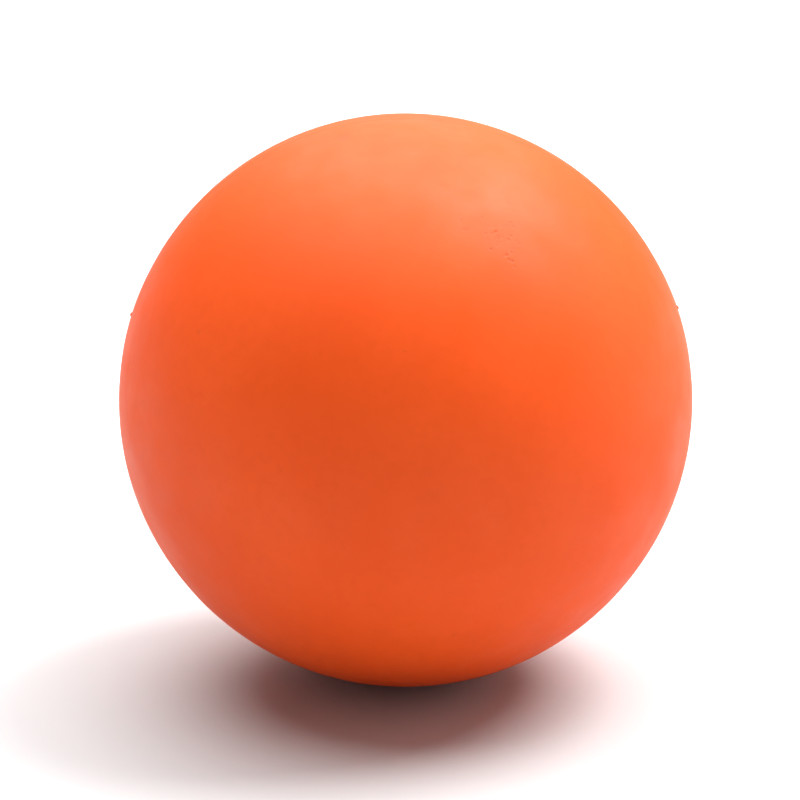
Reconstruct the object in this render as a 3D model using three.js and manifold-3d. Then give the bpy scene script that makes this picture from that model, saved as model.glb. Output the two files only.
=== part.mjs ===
// A smooth round massage ball, 63.5 mm across: one solid moulding of rubber, the same right through.
//
// The two halves of the mould meet at a parting line that runs once round the ball. It shows as a very low
// bead, with a small nib of flash on each side where the trimming stopped short.
//
// Millimetres, +Z up, with the origin at the ball's centre. The parting line lies in the XZ plane, the front
// is towards -Y, and the ball rests on its lowest point.

import * as THREE from "three";
import { mergeVertices } from "three/addons/utils/BufferGeometryUtils.js";
import Module from "manifold-3d";

// Driving dimensions.
const BALL_DIAMETER = 63.5;
const BEAD_HEIGHT = 0.04; // how far the trimmed bead stands above the ball
const BEAD_WIDTH = 0.8; // along the mould axis
const NIB_HEIGHT = 0.15;
const NIB_LENGTH = 0.7; // along the parting line
const NIB_WIDTH = 0.5; // across the parting line
const NIB_ANGLES = [19.5, 162]; // degrees round the parting line, from +X towards +Z

const BALL_RADIUS = BALL_DIAMETER / 2;

// How finely round surfaces are faceted.
const SIDES = 80; // round the mould axis
const HALF_STEPS = 20; // from the bead to a pole
const NIB_SIDES = 12;

const wasm = await Module();
wasm.setup();

const orangeRubber = new THREE.MeshStandardMaterial({ color: 0xea4f14, roughness: 0.5, metalness: 0 });

// The ball's half section from one pole to the other: x is the distance from the mould axis, y is along it.
function ballProfile() {
  const beadFoot = Math.asin(BEAD_WIDTH / 2 / BALL_RADIUS);
  const upperHalf = Array.from({ length: HALF_STEPS + 1 }, (_, step) => {
    const angle = beadFoot + ((Math.PI / 2 - beadFoot) * step) / HALF_STEPS;
    return new THREE.Vector2(BALL_RADIUS * Math.cos(angle), BALL_RADIUS * Math.sin(angle));
  });
  upperHalf[HALF_STEPS].x = 0; // exactly on the axis
  const lowerHalf = upperHalf.map((point) => new THREE.Vector2(point.x, -point.y)).reverse();
  const beadTop = new THREE.Vector2(BALL_RADIUS + BEAD_HEIGHT, 0);
  return [...lowerHalf, beadTop, ...upperHalf];
}

// A small dome on the parting line, half sunk in the ball.
function nibGeometry(angleInDegrees) {
  const dome = new THREE.SphereGeometry(1, NIB_SIDES, NIB_SIDES / 2);
  dome.scale(NIB_HEIGHT, NIB_WIDTH / 2, NIB_LENGTH / 2);
  dome.translate(BALL_RADIUS, 0, 0);
  dome.rotateY(-THREE.MathUtils.degToRad(angleInDegrees));
  return dome;
}

// A closed geometry as a manifold-3d solid.
function solidOf(geometry) {
  const bare = geometry.clone();
  bare.deleteAttribute("normal");
  bare.deleteAttribute("uv");
  const merged = mergeVertices(bare);
  return new wasm.Manifold(
    new wasm.Mesh({
      numProp: 3,
      vertProperties: merged.getAttribute("position").array,
      triVerts: new Uint32Array(merged.index.array),
    }),
  );
}

// A manifold-3d solid as a geometry.
function geometryOf(solid) {
  const mesh = solid.getMesh();
  const geometry = new THREE.BufferGeometry();
  geometry.setAttribute("position", new THREE.BufferAttribute(mesh.vertProperties, 3));
  geometry.setIndex(new THREE.BufferAttribute(mesh.triVerts, 1));
  geometry.computeVertexNormals();
  return geometry;
}

function ball() {
  const plainBall = solidOf(new THREE.LatheGeometry(ballProfile(), SIDES));
  const trimmedBall = NIB_ANGLES.reduce((solid, angle) => solid.add(solidOf(nibGeometry(angle))), plainBall);
  const mesh = new THREE.Mesh(geometryOf(trimmedBall), orangeRubber);
  mesh.name = "ball";
  return mesh;
}

const massageBall = new THREE.Group();
massageBall.add(ball());

export default massageBall;
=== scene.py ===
# The looks of a massage ball: one solid ball of satin orange rubber, resting on a pale table.
#
# Metres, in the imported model's frame: +Z up, the origin at the ball's centre, the front towards -Y, and the
# mould's parting line in the XZ plane.

import math
from collections import namedtuple

import bmesh
import bpy
import numpy as np
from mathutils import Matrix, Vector, noise


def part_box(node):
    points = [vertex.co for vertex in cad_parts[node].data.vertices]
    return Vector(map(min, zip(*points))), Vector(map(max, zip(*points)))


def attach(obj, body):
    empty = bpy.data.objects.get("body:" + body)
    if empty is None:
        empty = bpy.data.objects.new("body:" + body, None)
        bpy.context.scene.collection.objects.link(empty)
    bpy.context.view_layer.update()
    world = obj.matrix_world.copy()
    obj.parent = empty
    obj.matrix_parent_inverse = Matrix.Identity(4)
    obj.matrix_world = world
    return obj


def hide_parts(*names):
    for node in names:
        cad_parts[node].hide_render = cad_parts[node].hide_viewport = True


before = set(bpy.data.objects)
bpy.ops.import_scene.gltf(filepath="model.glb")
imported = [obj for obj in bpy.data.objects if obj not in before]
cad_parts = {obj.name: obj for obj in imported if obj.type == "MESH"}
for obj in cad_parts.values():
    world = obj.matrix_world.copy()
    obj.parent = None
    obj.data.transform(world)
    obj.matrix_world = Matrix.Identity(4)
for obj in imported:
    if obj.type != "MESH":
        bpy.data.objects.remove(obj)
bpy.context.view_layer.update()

MM = 0.001

# Sizes that the frame gives. The ball's pole-to-pole size is free of the bead, which stands proud of it.
LOW, HIGH = (Vector(corner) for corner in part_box("ball"))
BALL_RADIUS = (HIGH.y - LOW.y) / 2
BEAD_HEIGHT = HIGH.z - BALL_RADIUS
FLOOR_Z = LOW.z

# The bead and nibs of the parting line. Their places and heights are the CAD model's.
BEAD_FALLOFF = 0.28 * MM  # how far from the parting line the bead is down to about a third of its height
NIB_ANGLES = (19.5, 162)  # degrees round the parting line, from +X towards +Z
NIB_HEIGHT = 0.15 * MM
NIB_RADIUS = 0.36 * MM

# The mesh: a cube's six faces, each a grid, blown up into a ball.
GRID_STEPS = 108  # along each edge of the cube
BEAD_LINES = (0.1 * MM, 0.2 * MM, 0.35 * MM, 0.5 * MM)  # extra grid lines, each side of the parting line
SWELL = 0.02 * MM  # how far the surface wanders in and out over a centimetre or so
RIPPLE = 0.006 * MM  # and over a few millimetres
PEEL = 0.002 * MM  # the fine orange peel on top of that
WAVES = ((SWELL, 2.6), (RIPPLE, 8), (PEEL, 26))  # each with its fineness, in waves to the ball's radius

# Small marks in the rubber. Each lies along way from the centre, is radius across its short half and stretch
# times that along its long half, which turn sets, and is painted darker brown, for dust and painted shade,
# from 0 to 1.
Mark = namedtuple("Mark", "way radius depth stretch turn dust")
MARK_SEED = 7
STRAY_MARKS = 36

# How many times the mesh is split near a mark or a nib, and how far out, as a multiple of its own reach.
MARK_ROUNDS, MARK_MARGIN = 2, 1.3
NIB_ROUNDS, NIB_MARGIN = 3, 1.5

# The camera.
CAMERA_ELEVATION = math.radians(16)
CAMERA_DISTANCE = 11 * BALL_RADIUS
BALL_SHARE_OF_FRAME = 0.7176
FRAME_SHIFT = 0.007  # the ball sits this far right of the middle, as a share of the frame
SENSOR = 36

TABLE_SIZE = 2.8  # no wider than the lamps light well


# --- The ball's surface ---------------------------------------------------------------------------------


def grid_lines(extra=()):
    """Even angles across one face of the cube, from -45 to 45 degrees, with extra ones about the middle."""
    even = np.linspace(-math.pi / 4, math.pi / 4, GRID_STEPS + 1)
    offsets = [side * line / BALL_RADIUS for line in extra for side in (-1, 1)]
    pitch = even[1] - even[0]
    crowded = max(offsets) + pitch / 3 if offsets else 0  # inside this, only the middle line is kept
    kept = [angle for angle in even if abs(angle) < 1e-9 or abs(angle) > crowded]
    return np.tan(np.sort(np.array(kept + offsets)))


def ball_grid():
    """A cube-shaped grid blown up into a unit ball, as a bmesh."""
    lines = {"x": grid_lines(), "y": grid_lines(BEAD_LINES), "z": grid_lines()}
    bm = bmesh.new()
    for axes in ("yzx", "zxy", "xyz"):
        for side in (-1, 1):
            add_cube_face(bm, lines, axes, side)
    bmesh.ops.remove_doubles(bm, verts=bm.verts, dist=1e-6)
    bmesh.ops.recalc_face_normals(bm, faces=bm.faces)
    return bm


def add_cube_face(bm, lines, axes, side):
    """One face of the cube: a grid along the first two of axes, at side along the third."""
    order = {name: place for place, name in enumerate(axes)}
    rows = []
    for u in lines[axes[0]]:
        row = []
        for v in lines[axes[1]]:
            point = (u, v, side)
            direction = Vector([point[order[name]] for name in "xyz"]).normalized()
            row.append(bm.verts.new(direction))
        rows.append(row)
    for row, after in zip(rows, rows[1:]):
        for place in range(len(row) - 1):
            bm.faces.new((row[place], after[place], after[place + 1], row[place + 1]))


def direction_of(azimuth, elevation):
    """A unit direction from the ball's centre. Azimuth 0 is the front, and grows towards +X."""
    azimuth, elevation = math.radians(azimuth), math.radians(elevation)
    across = math.cos(elevation)
    return Vector((across * math.sin(azimuth), -across * math.cos(azimuth), math.sin(elevation)))


def scattered(rng, count, azimuth, elevation, spread, radii, depths, dust_and_shade_shares):
    """Marks scattered about one place. The angles are in degrees, and the radii and depths in millimetres."""
    found = []
    for _ in range(count):
        way = direction_of(
            azimuth + rng.normal(0, spread) / math.cos(math.radians(elevation)),
            elevation + rng.normal(0, spread),
        )
        size = (rng.uniform(*radii) * MM, rng.uniform(*depths) * MM)
        found.append(Mark(way, *size, rng.uniform(1, 1.8), rng.uniform(0, math.pi), rng.uniform(*dust_and_shade_shares)))
    return found


def marks():
    """Every small mark in the ball's surface."""
    rng = np.random.default_rng(MARK_SEED)
    dimple = Mark(direction_of(-48, 24), 0.36 * MM, 0.05 * MM, 1.2, 0.6, 0.15)
    smudge = Mark(direction_of(-54, 75), 1.4 * MM, 0.02 * MM, 1, 0, 0.5)
    found = [dimple, smudge]
    found += scattered(  # a close cluster
        rng, count=20, azimuth=26, elevation=46, spread=2.8,
        radii=(0.14, 0.22), depths=(0.018, 0.035), dust_and_shade_shares=(0.45, 0.85),
    )
    found += scattered(  # and its fringe
        rng, count=26, azimuth=27, elevation=49, spread=6.5,
        radii=(0.16, 0.3), depths=(0.01, 0.022), dust_and_shade_shares=(0.15, 0.45),
    )
    for way in rng.normal(size=(STRAY_MARKS, 3)):  # and fainter ones anywhere on the ball
        size = (rng.uniform(0.10, 0.20) * MM, rng.uniform(0.008, 0.02) * MM)
        turn = rng.uniform(0, math.pi)
        found.append(Mark(Vector(way).normalized(), *size, rng.uniform(1, 2), turn, rng.uniform(0.05, 0.2)))
    return found


def nib_directions():
    return [Vector((math.cos(math.radians(a)), 0, math.sin(math.radians(a)))) for a in NIB_ANGLES]


def refine_near(bm, spots, rounds):
    """Splits the faces near each (direction, reach) of spots, so that something small can be shaped there."""
    for _ in range(rounds):
        verts = list(bm.verts)
        directions = np.array([v.co for v in verts])
        chosen = set()
        for way, reach in spots:
            distance = np.linalg.norm(directions - np.array(way), axis=1) * BALL_RADIUS
            chosen.update(np.flatnonzero(distance < reach).tolist())
        near = {edge for place in chosen for edge in verts[place].link_edges}
        in_order = sorted(near, key=lambda edge: edge.index)
        bmesh.ops.subdivide_edges(bm, edges=in_order, cuts=1, use_grid_fill=True)
        for vert in bm.verts:
            vert.co.normalize()
        bm.edges.index_update()


def smooth_bump(distance, radius):
    """1 at the middle, 0 beyond radius, with a level top and foot."""
    reach = np.clip(distance / radius, 0, 1)
    return (1 - reach**2) ** 2


def mark_shape(directions, mark):
    """How much of a mark is felt in each direction: 1 at its middle, 0 past its edge."""
    side = mark.way.orthogonal().normalized()
    along = side * math.cos(mark.turn) + mark.way.cross(side) * math.sin(mark.turn)
    across = mark.way.cross(along)
    lengthwise = directions @ np.array(along) * BALL_RADIUS / (mark.radius * mark.stretch)
    crosswise = directions @ np.array(across) * BALL_RADIUS / mark.radius
    same_side = directions @ np.array(mark.way) > 0
    return smooth_bump(np.hypot(lengthwise, crosswise), 1) * same_side


def surface_height(directions):
    """How far the surface stands above the plain ball in each direction."""
    height = -sum(size for size, _ in WAVES)  # so that the tallest wave only just reaches the plain ball
    for size, fineness in WAVES:
        height = height + size * np.array([noise.noise(Vector(d) * fineness) for d in directions])
    height += BEAD_HEIGHT * np.exp(-((directions[:, 1] * BALL_RADIUS / BEAD_FALLOFF) ** 2))
    for mark in marks():
        height -= mark.depth * mark_shape(directions, mark)
    for way in nib_directions():
        distance = np.linalg.norm(directions - np.array(way), axis=1) * BALL_RADIUS
        height += NIB_HEIGHT * smooth_bump(distance, NIB_RADIUS)
    return height


def make_ball():
    bm = ball_grid()
    bm.edges.index_update()
    refine_near(bm, [(mark.way, mark.radius * mark.stretch * MARK_MARGIN) for mark in marks()], MARK_ROUNDS)
    refine_near(bm, [(way, NIB_RADIUS * NIB_MARGIN) for way in nib_directions()], NIB_ROUNDS)
    directions = np.array([v.co.normalized() for v in bm.verts])
    heights = surface_height(directions)
    for vert, direction, height in zip(bm.verts, directions, heights):
        vert.co = Vector(direction) * (BALL_RADIUS + height)
    for face in bm.faces:
        face.smooth = True
    mesh = bpy.data.meshes.new("rubber_ball")
    bm.to_mesh(mesh)
    bm.free()
    # How much darker brown is painted at each mark: dust, and painted shade in the mark's hollow.
    dust = mesh.attributes.new("dust", "FLOAT", "POINT")
    layers = [mark.dust * np.sqrt(mark_shape(directions, mark)) for mark in marks()]
    dust.data.foreach_set("value", np.max(layers, axis=0))
    ball = bpy.data.objects.new("rubber_ball", mesh)
    bpy.context.collection.objects.link(ball)
    return ball


# --- Materials ------------------------------------------------------------------------------------------

DEEP_ORANGE = (0.795, 0.078, 0.005, 1)
BRIGHT_ORANGE = (0.835, 0.088, 0.008, 1)
MOTTLE_ORANGE = (0.755, 0.074, 0.005, 1)
# Painted into the small marks: a darker brown for dust and for painted shade in their hollows.
DUST_AND_SHADE_BROWN = (0.20, 0.065, 0.008, 1)
TABLE_WHITES = (0.54, 0.54, 0.545, 1), (0.56, 0.56, 0.56, 1)


class Nodes:
    """Adds shader nodes to one material or world and joins them up."""

    def __init__(self, owner, shader="Principled BSDF"):
        owner.use_nodes = True
        self.tree = owner.node_tree
        self.shader = self.tree.nodes[shader]

    def add(self, kind, inputs=(), **settings):
        """A node with its settings, and each (socket, value or output) of inputs put in."""
        node = self.tree.nodes.new(kind)
        for name, value in settings.items():
            setattr(node, name, value)
        for socket, value in inputs:
            self.put(node.inputs[socket], value)
        return node

    def put(self, socket, value):
        if isinstance(value, bpy.types.NodeSocket):
            self.tree.links.new(value, socket)
        else:
            socket.default_value = value

    def noise(self, where, scale, detail=2.0, roughness=0.5):
        """A noise of scale waves to the metre."""
        inputs = (("Vector", where), ("Scale", scale), ("Detail", detail), ("Roughness", roughness))
        return self.add("ShaderNodeTexNoise", inputs).outputs["Fac"]

    def spread(self, value, low, high, from_low=0.0, from_high=1.0):
        """value, mapped from one range to another and held inside it."""
        source = (("Value", value), ("From Min", from_low), ("From Max", from_high))
        inputs = (*source, ("To Min", low), ("To Max", high))
        return self.add("ShaderNodeMapRange", inputs).outputs["Result"]

    def mix(self, share, first, second):
        node = self.add("ShaderNodeMix", data_type="RGBA")
        self.put(node.inputs["Factor"], share)
        self.put(node.inputs["A"], first)
        self.put(node.inputs["B"], second)
        return node.outputs["Result"]


def orange_rubber():
    """Satin rubber: slightly uneven pigment, dust and painted shade in the small marks, and a fine moulded
    grain.
    """
    material = bpy.data.materials.new("orange_rubber")
    nodes = Nodes(material)
    where = nodes.add("ShaderNodeTexCoord").outputs["Object"]

    patches = nodes.noise(where, 75, 3)
    fine_mottle = nodes.noise(where, 900, 2)
    pigment = nodes.mix(nodes.spread(patches, 0, 1, 0.35, 0.65), DEEP_ORANGE, BRIGHT_ORANGE)
    pigment = nodes.mix(nodes.spread(fine_mottle, 0, 0.35, 0.4, 0.75), pigment, MOTTLE_ORANGE)

    # The small marks are painted darker brown, for dust and for painted shade in their hollows.
    dust = nodes.add("ShaderNodeAttribute", attribute_name="dust").outputs["Fac"]
    pigment = nodes.mix(dust, pigment, DUST_AND_SHADE_BROWN)
    nodes.put(nodes.shader.inputs["Base Color"], pigment)

    wear = nodes.noise(where, 210, 4)
    nodes.put(nodes.shader.inputs["Roughness"], nodes.spread(wear, 0.47, 0.61, 0.3, 0.7))
    nodes.put(nodes.shader.inputs["Specular IOR Level"], 0.18)
    nodes.put(nodes.shader.inputs["IOR"], 1.5)

    grain = nodes.noise(where, 5200, 3, 0.6)
    inputs = (("Height", grain), ("Strength", 0.22), ("Distance", 0.03 * MM))
    bump = nodes.add("ShaderNodeBump", inputs)
    nodes.put(nodes.shader.inputs["Normal"], bump.outputs["Normal"])
    return material


def pale_table():
    """A matt white table with the faintest unevenness."""
    material = bpy.data.materials.new("pale_table")
    nodes = Nodes(material)
    where = nodes.add("ShaderNodeTexCoord").outputs["Object"]
    tone = nodes.spread(nodes.noise(where, 9, 3), 0, 1)
    nodes.put(nodes.shader.inputs["Base Color"], nodes.mix(tone, *TABLE_WHITES))
    nodes.put(nodes.shader.inputs["Roughness"], 0.8)
    nodes.put(nodes.shader.inputs["Specular IOR Level"], 0.2)
    return material


# --- Stage, light and camera ----------------------------------------------------------------------------


def make_floor():
    bpy.ops.mesh.primitive_plane_add(size=TABLE_SIZE, location=(0, 0, FLOOR_Z))
    floor = bpy.context.object
    floor.name = "table"
    floor.data.materials.append(pale_table())
    return floor


def looking_from(place, target=Vector((0, 0, 0))):
    """The rotation that points a camera or a lamp at target."""
    return (target - Vector(place)).to_track_quat("-Z", "Y").to_euler()


# Round softboxes about the ball: azimuth and elevation in degrees, distance and width in metres, and watts.
SOFTBOXES = {
    "overhead": (-160, 76, 2, 2.6, 80),
    "key": (115, 55, 2, 1.2, 55),
    "back": (180, 40, 2, 2, 15),
    "right": (100, 15, 2.4, 1.8, 10),
}
ROOM_LIGHT = 0.24
WALL_LIGHT = 0.8  # the pale wall round the room, low down
WALL_TOP = 0.16  # the sine of the elevation where the wall has faded into the room


def add_softbox(name, azimuth, elevation, distance, width, power):
    data = bpy.data.lights.new(name, "AREA")
    data.shape = "DISK"
    data.size = width
    data.energy = power
    lamp = bpy.data.objects.new(name, data)
    lamp.location = direction_of(azimuth, elevation) * distance
    lamp.rotation_euler = looking_from(lamp.location)
    bpy.context.collection.objects.link(lamp)


def light_the_scene():
    for name, place_and_power in SOFTBOXES.items():
        add_softbox(name, *place_and_power)
    bpy.context.scene.world = soft_room()


def soft_room():
    """An even white room, with a paler wall just above the horizon."""
    world = bpy.data.worlds.new("soft_room")
    nodes = Nodes(world, "Background")
    way = nodes.add("ShaderNodeTexCoord").outputs["Generated"]
    height = nodes.add("ShaderNodeSeparateXYZ", (("Vector", way),)).outputs["Z"]
    nodes.put(nodes.shader.inputs["Color"], (1, 1, 1, 1))
    nodes.put(nodes.shader.inputs["Strength"], nodes.spread(height, WALL_LIGHT, ROOM_LIGHT, 0, WALL_TOP))
    return world


def add_camera():
    data = bpy.data.cameras.new("camera")
    half_angle = math.asin(BALL_RADIUS / CAMERA_DISTANCE)
    data.sensor_width = SENSOR
    data.lens = SENSOR * BALL_SHARE_OF_FRAME / 2 / math.tan(half_angle)
    data.shift_x = -FRAME_SHIFT
    camera = bpy.data.objects.new("camera", data)
    across = math.cos(CAMERA_ELEVATION) * CAMERA_DISTANCE
    camera.location = (0, -across, math.sin(CAMERA_ELEVATION) * CAMERA_DISTANCE)
    camera.rotation_euler = looking_from(camera.location)
    bpy.context.collection.objects.link(camera)
    bpy.context.scene.camera = camera


add_camera()
light_the_scene()
bpy.context.scene.view_settings.view_transform = "Standard"

ball = make_ball()
ball.data.materials.append(orange_rubber())
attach(ball, "root")
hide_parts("ball")
make_floor()
